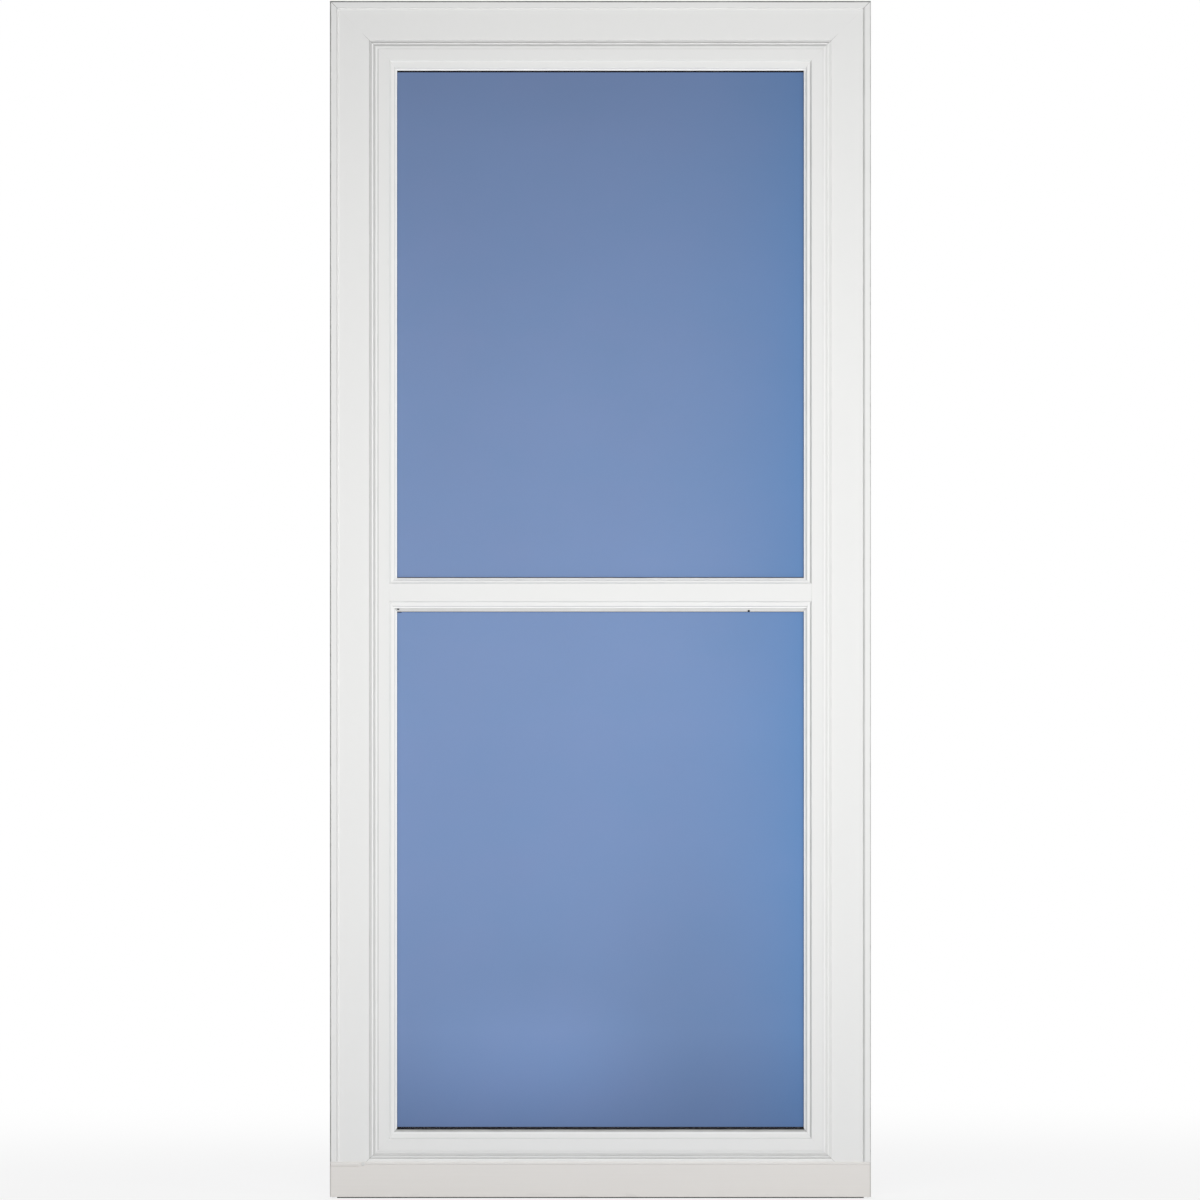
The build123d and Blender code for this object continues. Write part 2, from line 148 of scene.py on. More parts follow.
class Net:
    """A node tree in the making."""

    def __init__(self, tree):
        self.tree = tree

    def node(self, kind, settings=None, values=None, out=0):
        """Adds a node: its settings first, then the values or wires of its sockets."""
        made = self.tree.nodes.new(kind)
        for key, value in (settings or {}).items():
            if key == "stops":
                self.set_stops(made.color_ramp.elements, sorted(value))
            else:
                setattr(made, key, value)
        for key, value in (values or {}).items():
            for given in value if isinstance(value, list) else [value]:
                if isinstance(given, Wire):
                    self.tree.links.new(given.socket, made.inputs[key])
                else:
                    made.inputs[key].default_value = given
        return Wire(self, made.outputs[out]) if made.outputs else made

    def set_stops(self, stops, ordered):
        """Colours of a ramp that starts out with two stops."""
        for stop, (place, colour) in zip(stops, (ordered[0], ordered[-1])):
            stop.position = place
            stop.color = colour
        for place, colour in ordered[1:-1]:
            stops.new(place).color = colour

    def maths(self, operation, *values, clamp=False):
        """One Math node."""
        settings = {"operation": operation, "use_clamp": clamp}
        return self.node("ShaderNodeMath", settings, dict(enumerate(values)))

    def vector(self, x=0, y=0, z=0):
        """A vector of wires or numbers."""
        return self.node("ShaderNodeCombineXYZ", values={"X": x, "Y": y, "Z": z})

    def least(self, first, second):
        return self.maths("MINIMUM", first, second)

    def most(self, first, second):
        return self.maths("MAXIMUM", first, second)

    def clamped(self, value):
        return self.maths("ADD", value, 0, clamp=True)

    def hairline(self, distance, half):
        """1 on a line and 0 from half a width away, for a distance in millimetres."""
        return self.most(1 - abs(distance) / half, 0)

    def smooth(self, value, low, high):
        """0 at low and 1 at high, with a soft start and end."""
        settings = {"interpolation_type": "SMOOTHSTEP"}
        return self.node("ShaderNodeMapRange", settings, {0: value, 1: low, 2: high})

    def stepped(self, height, steps):
        """A number that changes at given heights: steps are (from this height, number)."""
        total = steps[0][1]
        for (_, before), (start, after) in zip(steps, steps[1:]):
            total = (height > start) * (after - before) + total
        return total


def opaque(colour, share=1):
    """A colour times a number, with a fourth number for its alpha."""
    return (*(part * share for part in colour[:3]), 1)


def between(first, second, share):
    """A colour between two others."""
    return tuple(a + (b - a) * share for a, b in zip(first, second))


class Finish(Net):
    """A material in the making, with the place of each point in millimetres."""

    def __init__(self, name, mirrored):
        self.material = bpy.data.materials.new(name)
        self.material.use_nodes = True
        super().__init__(self.material.node_tree)
        self.shader = self.tree.nodes["Principled BSDF"]
        self.fix("Specular IOR Level", mirrored)
        self.object_place = self.node("ShaderNodeTexCoord", out="Object")
        place = self.node("ShaderNodeSeparateXYZ", values={0: self.object_place})
        self.x, self.y, self.z = (
            wire * (1 / MM) for wire in (place, place.beside("Y"), place.beside("Z")))
        self.deep = self.y - FRONT
        self.normal = None

    def fix(self, socket, value):
        """Gives the shader a value that is the same all over."""
        self.shader.inputs[socket].default_value = value

    def feed(self, socket, wire):
        """Links a wire to the shader."""
        self.tree.links.new(wire.socket, self.shader.inputs[socket])

    def noise(self, size, detail=2, stretch=None):
        """Noise whose blots are about size millimetres, longer along a stretched axis."""
        place = self.object_place
        if stretch:
            scale = tuple(1 / s for s in stretch)
            place = self.node("ShaderNodeMapping", values={"Vector": place, "Scale": scale})
        values = {"Vector": place, "Scale": 1 / (size * MM), "Detail": detail}
        return self.node("ShaderNodeTexNoise", values=values)

    def patches(self, size):
        """A share about 1 that makes grime and painted shade uneven."""
        return 0.62 + self.noise(size) * 0.76

    def ramp(self, share, stops):
        """Colours along a wire from 0 to 1."""
        return self.node("ShaderNodeValToRGB", {"stops": stops}, {0: share})

    def blend(self, share, first, second, mode="MIX"):
        """A colour between two others."""
        settings = {"data_type": "RGBA", "blend_type": mode}
        values = {MIX_SHARE: share, MIX_FIRST: first, MIX_SECOND: second}
        return self.node("ShaderNodeMix", settings, values, out=MIX_COLOUR)

    def shaded(self, colour, level):
        """A colour times a wire."""
        start = colour if isinstance(colour, Wire) else tuple(colour)[:3]
        return self.node("ShaderNodeVectorMath", {"operation": "SCALE"}, {0: start, "Scale": level})

    def coloured(self, colour, level, marks, mark_colour):
        """Base colour: a colour times a level, and the mark colour where marks is 1."""
        self.feed("Base Color", self.blend(marks, self.shaded(colour, level), opaque(mark_colour)))

    def relief(self, height, size, strength=1):
        """Adds a bump whose height of 1 stands for size millimetres."""
        values = {"Height": height, "Distance": size * MM, "Strength": strength}
        if self.normal:
            values["Normal"] = self.normal
        self.normal = self.node("ShaderNodeBump", values=values)
        self.feed("Normal", self.normal)

    def soft_spot(self, x, z, wide, high):
        """1 at a place on the door's face, falling softly to 0 at the given reaches."""
        across, up = (self.x - x) / wide, (self.z - z) / high
        return 1 - self.smooth(self.maths("SQRT", across * across + up * up), 0, 1)

    def from_edge(self):
        """Distances in from the leaf's nearest upright edge and nearest end."""
        inwards = self.least(self.x - LEFT, RIGHT - self.x)
        endwards = self.least(TOP - self.z, self.z)
        return inwards, endwards

    def section_marks(self, across, reach, dust_and_shade_lines, painted_highlight=()):
        """Grime and painted shade (red) and painted highlights (green) across a section.

        Each line is (distance in, half width, share), in millimetres, and lines that
        overlap run into one another.
        """
        lines = [(place, half, (share, 0, 0, 1)) for place, half, share in dust_and_shade_lines]
        lines += [(place, half, (0, share, 0, 1)) for place, half, share in painted_highlight]
        clean = (0, 0, 0, 1)
        stops = {0: clean, 1: clean}
        for place, half, marked in lines:
            for end in (max(place - half, 0.01), min(place + half, reach - 0.01)):
                if not any(abs(end - other) < wide - 0.01 for other, wide, _ in lines):
                    stops[round(end / reach, 5)] = clean
            stops[round(place / reach, 5)] = marked
        return self.ramp(across / reach, stops.items())

    def two_marks(self, colour):
        """The grime-and-painted-shade share and the painted highlight share of a colour from
        section_marks.
        """
        parts = self.node("ShaderNodeSeparateColor", values={0: colour})
        return parts, parts.beside("Green")


# Finishes
# Near white for painted highlights on the edges that face the light
HIGHLIGHT_WHITE = (0.97, 0.97, 0.965, 1)


def powder_coat(net, colour, mark_colour, marks, painted_highlight=None, rough=0.4):
    """Colour, roughness and relief of baked powder paint, with the mark colour where marks is 1
    (grime, joints and painted shade) and a painted highlight where painted_highlight is 1.
    """
    slow = net.noise(420, 1)
    fine = net.noise(16, 3)
    grain = net.noise(1.3)
    even = net.shaded(colour, 0.985 + slow * 0.02 + fine * 0.012)
    if painted_highlight:
        even = net.blend(painted_highlight, even, HIGHLIGHT_WHITE)
    net.feed("Base Color", net.blend(net.clamped(marks), even, opaque(mark_colour)))
    net.feed("Roughness", rough + fine * 0.09 + marks * 0.15 - slow * 0.04)
    net.relief(grain, 0.012, 0.35)


def leaf_paint(net, colours):
    """Paint of the stiles and rails: painted shade, partly grime, along the steps of the section
    and at the outer edges, and painted highlights on the steps' lit edges.
    """
    inwards, endwards = net.from_edge()
    edge = net.least(inwards, endwards)
    # One table a side, since the light falls from the hinge side: the latch side, the head and the
    # foot take more painted shade at their steps than the hinge side, and the lines 0 to 2 mm in
    # paint the shaded outer edge
    latch = net.section_marks(edge, FACE, [
        (0.5, 0.5, 0.85), (1.4, 1.1, 0.85), (RIM - 0.3, 1.1, 0.4), (67.6, 1.3, 0.42),
        (75, 1.2, 0.3), (82, 1, 0.5)
    ], painted_highlight=[(15, 1.4, 0.4), (LEDGE - 1, 1.1, 0.8), (79.4, 1.4, 0.6)])
    hinge = net.section_marks(edge, FACE, [
        (0.6, 1.3, 0.8), (RIM - 1.4, 1.2, 0.4), (RIM + 0.3, 1.2, 0.5), (67.4, 0.9, 0.14),
        (75, 0.9, 0.1), (81.8, 0.7, 0.1)
    ], painted_highlight=[(72.9, 1, 0.4), (79, 1.5, 0.5)])
    head = net.section_marks(edge, FACE, [
        (0.9, 0.9, 1), (1.9, 1.1, 1), (11.9, 0.9, 0.14), (71.3, 1, 0.55),
        (75.4, 1.5, 0.32), (82, 0.9, 0.14)
    ], painted_highlight=[(15, 1.4, 0.35), (68.4, 1.5, 0.9), (73.1, 0.9, 1)])
    foot = net.section_marks(edge, FACE, [
        (67.6, 1.1, 0.5), (72.9, 1.1, 0.7), (79.9, 1, 0.2)
    ], painted_highlight=[(65, 1.4, 0.3), (70.3, 1.2, 0.8), (75.3, 1.2, 0.5)])
    uprights = net.blend(net.x > MIDDLE, latch, hinge)
    ends = net.blend(net.z > TOP / 2, foot, head)
    dust, painted_highlight = net.two_marks(net.blend(inwards < endwards, ends, uprights))
    outside = 1 - net.smooth(net.deep, 8, 14)
    joints = net.section_marks(edge, FACE, [
        (2, 2, 1), (9, 6, 1), (30, 12, 0.1), (62, 8, 0.6),
        (72, 5, 0.5), (86, 6, 0.1), (98, 3, 0.1)])
    cut = net.hairline(inwards - endwards, 0.8) * (edge < FACE)
    joint = cut * net.two_marks(joints)[0]
    chips = net.hairline(edge - 1, 1.6) * (net.noise(9, 3) > 0.62) * 0.12
    marks = (dust * net.patches(60) + joint) * outside + chips
    powder_coat(net, colours.leaf, colours.dust, marks, painted_highlight * outside)
    net.relief(1 - cut, 0.25, 0.5)


def bead_paint(net, colours):
    """Paint of the glazing beads: painted highlights on the lips, painted shade at their steps, and
    dark mitre joints.
    """
    inwards, _ = net.from_edge()
    side = inwards - FACE
    upper, lower = PANES["upper"], PANES["lower"]
    half_up = (upper["low"] + upper["high"]) / 2
    half_low = (lower["low"] + lower["high"]) / 2
    mid_rail = (upper["low"] + lower["high"]) / 2
    end = net.stepped(net.z, [
        (0, lower["low"]), (half_low, lower["high"]),
        (mid_rail, upper["low"]), (half_up, upper["high"])])
    width = net.stepped(net.z, [
        (0, lower["foot"]), (half_low, lower["head"]),
        (mid_rail, upper["foot"]), (half_up, upper["head"])])
    along = abs(net.z - end)
    reach = 20.0
    # One table a side, since the painted shade and highlights follow the light from the hinge side
    latch = net.section_marks(side, reach, [
        (0.3, 0.9, 0.14), (2.1, 0.9, 0.18), (9, 0.8, 0.1)
    ], painted_highlight=[(6.9, 1.6, 0.3), (11.9, 1.6, 1)])
    hinge = net.section_marks(side, reach, [
        (0.6, 1.1, 0.44), (2.2, 1.1, 0.36), (8.6, 1.2, 0.42)
    ], painted_highlight=[(4.8, 1.4, 0.5), (11.2, 1.5, 1)])
    head = net.section_marks(along, reach, [
        (0.6, 0.9, 0.08), (14.2, 0.9, 0.1)
    ], painted_highlight=[(16.3, 1.3, 1)])
    sill = net.section_marks(along, reach, [
        (5.2, 1, 0.1), (9.7, 0.9, 0.75)
    ], painted_highlight=[(1.6, 2.2, 0.45), (7.6, 1.2, 1)])
    lower_head = net.section_marks(along, reach, [
        (0.6, 0.9, 0.1), (9.3, 0.9, 0.1), (12.9, 1, 0.34), (14.5, 1, 0.26), (16.6, 1.3, 0.4)
    ], painted_highlight=[(11.2, 1.1, 1)])
    foot = net.section_marks(along, reach, [
        (0.6, 0.9, 0.16), (12.7, 1, 0.5), (14.3, 1, 0.6), (16.4, 1.4, 1)
    ], painted_highlight=[(9, 1.2, 0.3), (11, 1, 0.6)])
    uprights = net.blend(net.x > MIDDLE, latch, hinge)
    low_ends = net.blend(net.z > half_low, foot, lower_head)
    high_ends = net.blend(net.z > half_up, sill, head)
    ends = net.blend(net.z > mid_rail, low_ends, high_ends)
    slant = (side * width - along * SIDE_BEAD) / (SIDE_BEAD * 1.4)
    dust, painted_highlight = net.two_marks(net.blend(slant < 0, ends, uprights))
    cut = net.hairline(slant, 0.5)
    marks = dust * net.patches(40) + cut * 0.16
    powder_coat(net, colours.bead, colours.dust, marks, painted_highlight)
    net.relief(1 - cut, 0.2, 0.5)


def expander_paint(net, colours):
    """Warmer paint of the expander, drawn along its length and scuffed at its foot, with painted
    shade along its ends and a painted highlight on its rolled top.
    """
    seam_height, fold_height = 56.4, 57.6
    drawn = net.noise(3, 2, (60, 1, 1))
    foot = 1 - net.smooth(net.z, 3, 12)
    scuff = foot * (net.noise(14, 3, (3, 1, 1)) > 0.62) * 0.08
    # A faint darker line at the foot of the rolled top
    seam = net.hairline(net.z - seam_height, 0.7) * 0.05
    inwards, _ = net.from_edge()
    # Painted shade along both ends
    ends = net.hairline(inwards - 0.9, 1.5) * 0.55
    # Painted highlight on the rolled top
    painted_highlight = (net.z > fold_height) * 0.165
    marks = scuff + seam + ends + drawn * 0.04
    powder_coat(net, colours.expander, colours.dust, marks, painted_highlight, rough=0.44)
    net.relief(drawn, 0.02, 0.3)


def jamb_paint(net, colours):
    """Paint of the frame: a mitre at each upper corner, and grime on the fold and at the feet."""
    inwards, _ = net.from_edge()
    fold_in = 6.4
    cut = net.hairline(inwards - (TOP - net.z), 0.6)
    fold = net.hairline(net.least(inwards, TOP - net.z) - fold_in, 1.4) * 0.25
    foot = (1 - net.smooth(net.z, 5, 60)) * (net.noise(11, 3) > 0.55) * 0.14
    powder_coat(net, colours.leaf, colours.dust, cut * 0.5 + fold + foot)
    net.relief(1 - cut, 0.2, 0.6)


def retainer_vinyl(net, colours):
    """Matt vinyl of the retainers, with draw lines and mitred ends."""
    inwards, _ = net.from_edge()
    side = inwards - FACE
    ends = [net.least(abs(net.z - opening["low"]), abs(net.z - opening["high"]))
            for opening in PANES.values()]
    nearest = net.least(*ends)
    cut = net.hairline(side - nearest, 0.6)
    seam = net.hairline(net.least(side, nearest), 0.6) * 0.4
    drawn = net.noise(1.6, 2, (8, 8, 8))
    blot = net.noise(35)
    net.coloured(colours.retainer, 0.97 + blot * 0.05, cut * 0.5 + seam, colours.dust)
    net.feed("Roughness", 0.52 + blot * 0.15)
    net.relief(drawn + net.noise(2.5, 1) * 0.4, 0.03, 0.4)
    net.relief(1 - cut, 0.2, 0.6)


def blue_glass(net, colours):
    """Blue glass with a painted reflection, palest a third of the way up, deeper at the head, foot
    and hinge side, and a painted shadow of the beads along its sides.
    """
    foot, middle, head = (opaque(colour) for colour in (
        colours.glass_foot, colours.glass_middle, colours.glass_head))
    # The climb from foot to head is a painted reflection
    climb = net.ramp(net.z / TOP, [
        (0.055, foot), (0.14, between(foot, middle, 0.85)), (0.26, between(foot, middle, 0.98)),
        (0.4, middle), (0.55, between(middle, head, 0.28)), (0.75, between(middle, head, 0.5)),
        (0.88, between(middle, head, 0.76)), (0.935, head)])
    side_reach = 119.0
    # Bluer towards the hinge side: painted reflection
    near_hinge = net.maths("EXPONENT", (net.x - SIGHT_RIGHT) / side_reach)
    hinge_side_reflection = net.blend(1, climb, opaque(colours.glass_side), "MULTIPLY")
    deeper = net.blend(near_hinge * 0.9, climb, hinge_side_reflection)
    cloud = net.noise(260)
    ripple = net.noise(900, 1, (2.5, 1, 0.6))
    haze = net.noise(75, 2, (1.6, 1, 1))
    tinge = net.blend(haze, opaque((0.93, 0.99, 1)), opaque((1.04, 1, 1.01)))
    deeper = net.blend(1, deeper, tinge, "MULTIPLY")
    # A pale and a dark patch of painted reflection
    glow = net.soft_spot(MIDDLE - 110, 215, 300, 170) * 0.14
    shade = net.soft_spot(MIDDLE + 170, 300, 260, 420) * 0.09
    seen = net.least(net.x - SIGHT_LEFT, SIGHT_RIGHT - net.x) - SIDE_BEAD
    # Painted shadow of the beads along the pane's sides
    bead_shadow = 1 - net.smooth(seen, 0, 7)
    level = 0.955 + cloud * 0.07 + ripple * 0.02 + glow - shade - bead_shadow * 0.06
    net.feed("Base Color", net.shaded(deeper, level))
    net.feed("Roughness", 0.1 + cloud * 0.05)
    net.feed("Alpha", 0.93 + net.noise(700, 1) * 0.02)
    net.relief(net.noise(320, 1, (1, 1, 2)), 0.5, 0.05)


def dark_gasket(net, colours):
    """Dark extruded rubber with lines along its run and dusty patches."""
    blot = net.noise(12, 3)
    net.coloured(colours.gasket, 0.8 + blot * 0.4, (blot > 0.62) * 0.05, colours.dust)
    net.feed("Roughness", 0.55 + blot * 0.2)
    net.relief(net.noise(0.9, 2, (6, 1, 6)), 0.05, 0.6)


def sweep_vinyl(net, colours):
    """Pale grey vinyl of the sweep, darkened at its feet by a painted contact shadow."""
    drawn = net.noise(2.2, 2, (40, 1, 1))
    blot = net.noise(18, 3)
    # Painted contact shadow along the lowest 2.6 mm
    foot_shadow = net.clamped((1 - net.smooth(net.z, 1.5, 2.6)) * (0.6 + blot * 0.5))
    net.coloured(colours.sweep, 0.85 + blot * 0.3, foot_shadow, opaque(colours.dust, 0.4))
    net.feed("Roughness", 0.6 + drawn * 0.2)
    net.relief(drawn, 0.06, 0.6)


def pile_fibre(net, colours):
    """Grey pile, each tuft a little lighter or darker, with grime at the tips."""
    net.fix("Sheen Weight", 0.3)
    tuft = net.noise(2, 1)
    blot = net.noise(40)
    tip = 1 - net.smooth(net.deep, 38.3, 41)
    net.coloured(colours.pile, 0.65 + tuft * 0.5 + blot * 0.2, tip * 0.3, colours.dust)
    net.feed("Roughness", 0.85 + tuft * 0.15)
    net.relief(net.noise(0.5), 0.1, 0.5)


def zinc_steel(net, colours):
    """Zinc plate on steel: spangle, brushed lines and dull patches."""
    place = {"Vector": net.object_place, "Scale": 160}
    cells = net.node("ShaderNodeTexVoronoi", {"feature": "F1"}, place)
    brushed = net.noise(0.8, 2, (1, 1, 18))
    dull = (net.noise(9, 3) > 0.6) * 0.25
    level = 0.9 + cells * 0.14 + brushed * 0.06
    net.coloured(colours.steel, level, dull, opaque(colours.steel, 0.6))
    net.feed("Metallic", 0.9 - dull * 0.8)
    net.feed("Roughness", 0.3 + brushed * 0.14 + dull)
    net.relief(brushed, 0.02, 0.4)


def screw_paint(net, colours):
    """Painted screw heads, with bare metal showing through at their high spots."""
    chip = (net.noise(1.6, 3) > 0.66) * 0.6
    blot = net.noise(7)
    net.coloured(colours.screw, 0.93 + blot * 0.1, chip, colours.steel)
    net.feed("Metallic", chip)
    net.feed("Roughness", 0.34 + blot * 0.14)
    net.relief(net.noise(0.9), 0.02, 0.4)


# What makes each finish, and how much light its surface mirrors
MAKERS = {
    "leaf": (leaf_paint, 0.45),
    "bead": (bead_paint, 0.45),
    "expander": (expander_paint, 0.45),
    "jamb": (jamb_paint, 0.45),
    "retainer": (retainer_vinyl, 0.35),
    "glass": (blue_glass, 0.5),
    "gasket": (dark_gasket, 0.12),
    "sweep": (sweep_vinyl, 0.3),
    "pile": (pile_fibre, 0.1),
    "steel": (zinc_steel, 0.5),
    "screw": (screw_paint, 0.5),
}


@functools.cache
def finish_named(name):
    """The material of a finish, made at its first use."""
    maker, mirrored = MAKERS[name]
    net = Finish(maker.__name__, mirrored)
    maker(net, bpy.context.scene.storm_door_colours)
    return net.material


def dress(nodes, finish_name):
    """Gives solids their finish."""
    material = finish_named(finish_name)
    for name in nodes:
        slots = frame["nodes"][name].material_slots
        if not len(slots):
            raise RuntimeError(f"{name} has no material slot")
        for slot in slots:
            slot.material = material


# Meshes
def linked(name, data):
    """A new object in the scene."""
    made = bpy.data.objects.new(name, data)
    bpy.context.scene.collection.objects.link(made)
    return made


def mesh_of(name, shape):
    """Closes a bmesh into a mesh in metres, with its faces turned outwards."""
    bmesh.ops.remove_doubles(shape, verts=shape.verts, dist=0.0005)
    bmesh.ops.recalc_face_normals(shape, faces=shape.faces)
    bmesh.ops.scale(shape, vec=(MM, MM, MM), verts=shape.verts)
    mesh = bpy.data.meshes.new(name)
    shape.to_mesh(mesh)
    shape.free()
    return mesh


def put(name, mesh, body, finish_name=None):
    """Makes a mesh a piece that rides on a body."""
    piece = linked(name, mesh)
    if finish_name:
        mesh.materials.append(finish_named(finish_name))
    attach(piece, body)
    return piece


def skin(shape, rings, closed=False):
    """Joins rings of points into a tube, which is closed into a loop or else gets end caps."""
    loops = [[shape.verts.new(p) for p in ring] for ring in rings]
    for first, second in zip(loops, loops[1:] + (loops[:1] if closed else [])):
        for k in range(len(first)):
            n = (k + 1) % len(first)
            shape.faces.new((first[k], first[n], second[n], second[k]))
    if not closed:
        shape.faces.new(loops[0])
        shape.faces.new(loops[-1])


def window_ring(pane, inset, sections):
    """A mitred ring round a pane.

    inset gives how far in from the opening each side starts, and sections give, side by
    side, points of (further in, y).
    """
    low, high = PANES[pane]["low"], PANES[pane]["high"]
    rings = []
    for across, up in (("left", "foot"), ("right", "foot"), ("right", "head"), ("left", "head")):
        ring = []
        for (sideways, y), (upwards, _) in zip(sections[across], sections[up]):
            sideways, upwards = inset[across] + sideways, inset[up] + upwards
            x = SIGHT_LEFT + sideways if across == "left" else SIGHT_RIGHT - sideways
            ring.append((x, y, low + upwards if up == "foot" else high - upwards))
        rings.append(ring)
    shape = bmesh.new()
    skin(shape, rings, True)
    return shape


def run_ends(place, inwards, foot=0):
    """Start and end (x, z) of a line that runs round the frame at a distance in."""
    left, right, top = LEFT + inwards, RIGHT - inwards, TOP - inwards
    if place == "head":
        return (left, top), (right, top)
    x = right if place == "hinge" else left
    return (x, foot), (x, top)


def mitred_bar(shape, place, start, stop, front, back):
    """A bar from start to stop in from the frame's edge, mitred at the upper corners."""
    starts, ends = [], []
    for inwards, y in ((start, front), (stop, front), (stop, back), (start, back)):
        (x0, z0), (x1, z1) = run_ends(place, inwards)
        starts.append((x0, y, z0))
        ends.append((x1, y, z1))
    skin(shape, [starts, ends])


def rubber(name, shape):
    """A dark piece at a pane."""
    put(name, mesh_of(name, shape), "leaf", "gasket")


def rubber_bit(name, soft, *boxes):
    """A small dark piece of boxes (low corner, high corner) with rounded edges."""
    shape = bmesh.new()
    for low, high in boxes:
        made = bmesh.ops.create_cube(shape, size=1)["verts"]
        for vertex in made:
            for axis in range(3):
                vertex.co[axis] = high[axis] if vertex.co[axis] > 0 else low[axis]
        edges = list({edge for vertex in made for edge in vertex.link_edges})
        bmesh.ops.bevel(shape, geom=edges, offset=soft, segments=2, affect="EDGES", profile=0.5)
    rubber(name, shape)


# Geometry Nodes
def new_tree(name, inputs):
    """A geometry tree with named inputs, and the wires of those inputs."""
    tree = bpy.data.node_groups.new(name, "GeometryNodeTree")
    tree.interface.new_socket("Geometry", in_out="INPUT", socket_type="NodeSocketGeometry")
    for label, default in inputs.items():
        kind = "NodeSocketInt" if isinstance(default, int) else "NodeSocketFloat"
        socket = tree.interface.new_socket(label, in_out="INPUT", socket_type=kind)
        socket.default_value = default
    tree.interface.new_socket("Geometry", in_out="OUTPUT", socket_type="NodeSocketGeometry")
    net = Net(tree)
    return net, net.node("NodeGroupInput")


def grown(name, mesh, tree, inputs):
    """The plain mesh that a tree makes from a mesh, with its inputs set in metres."""
    carrier = linked(name, mesh)
    modifier = carrier.modifiers.new(name, "NODES")
    modifier.node_group = tree
    for item in tree.interface.items_tree:
        if item.name in inputs:
            modifier[item.identifier] = inputs[item.name]
    graph = bpy.context.evaluated_depsgraph_get()
    result = bpy.data.meshes.new_from_object(carrier.evaluated_get(graph), depsgraph=graph)
    carrier.modifiers.clear()
    bpy.data.objects.remove(carrier)
    if not len(result.polygons):
        raise RuntimeError(f"{name} came out empty")
    return result


def realized(net, geometry, material):
    """Ends a tree: real faces with a material."""
    solid = net.node("GeometryNodeRealizeInstances", values={"Geometry": geometry})
    solid = net.node("GeometryNodeSetMaterial", values={"Geometry": solid, "Material": material})
    net.node("NodeGroupOutput", values={0: solid})
    return net.tree


def screw_tree(material):
    """Pan heads with a crossed recess, one on each point, facing along its attribute."""
    net, given = new_tree("screw_heads", {
        "Head Radius": 0.004, "Head Height": 0.0012, "Recess Depth": 0.0008, "Seed": 7})
    radius, height = given.beside("Head Radius"), given.beside("Head Height")
    base = net.node("GeometryNodeMeshCylinder", {"fill_type": "NGON"}, {
        "Vertices": 20, "Radius": radius, "Depth": height * 0.5})
    lift = net.vector(z=height * 0.25)
    base = net.node("GeometryNodeTransform", values={"Geometry": base, "Translation": lift})
    facing = net.node("GeometryNodeInputNormal")
    upward = net.node("ShaderNodeSeparateXYZ", values={0: facing}).beside("Z")
    crowned = net.node("GeometryNodeExtrudeMesh", {"mode": "FACES"}, {
        "Mesh": base, "Selection": upward > 0.9, "Offset Scale": height * 0.5})
    crowned = net.node("GeometryNodeScaleElements", {"domain": "FACE"}, {
        "Geometry": crowned, "Selection": crowned.beside("Top"), "Scale": 0.7})
    slots = []
    for across, along in ((radius * 1.1, radius * 0.26), (radius * 0.26, radius * 1.1)):
        size = net.vector(across, along, given.beside("Recess Depth") * 2)
        slots.append(net.node("GeometryNodeMeshCube", values={"Size": size}))
    cross = net.node("GeometryNodeJoinGeometry", values={0: slots})
    raised = net.vector(z=height * 1.01)
    cross = net.node("GeometryNodeTransform", values={"Geometry": cross, "Translation": raised})
    head = net.node("GeometryNodeMeshBoolean", {"operation": "DIFFERENCE", "solver": "EXACT"}, {
        "Mesh 1": crowned, "Mesh 2": cross, "Self Intersection": True})
    points = net.node("GeometryNodeMeshToPoints", values={"Mesh": given})
    axis = net.node("GeometryNodeInputNamedAttribute", {"data_type": "FLOAT_VECTOR"},
                    {"Name": "facing"})
    turn = net.node("FunctionNodeAlignRotationToVector", {"axis": "Z"}, {"Vector": axis})
    heads = net.node("GeometryNodeInstanceOnPoints", values={
        "Points": points, "Instance": head, "Rotation": turn})
    angle = net.node("FunctionNodeRandomValue", {"data_type": "FLOAT"}, {
        FLOAT_LOW: 0, FLOAT_HIGH: math.tau, RANDOM_SEED: given.beside("Seed")},
        out=RANDOM_FLOAT)
    spin = net.vector(z=angle)
    heads = net.node("GeometryNodeRotateInstances", values={
        "Instances": heads, "Rotation": spin, "Local Space": True})
    return realized(net, heads, material)


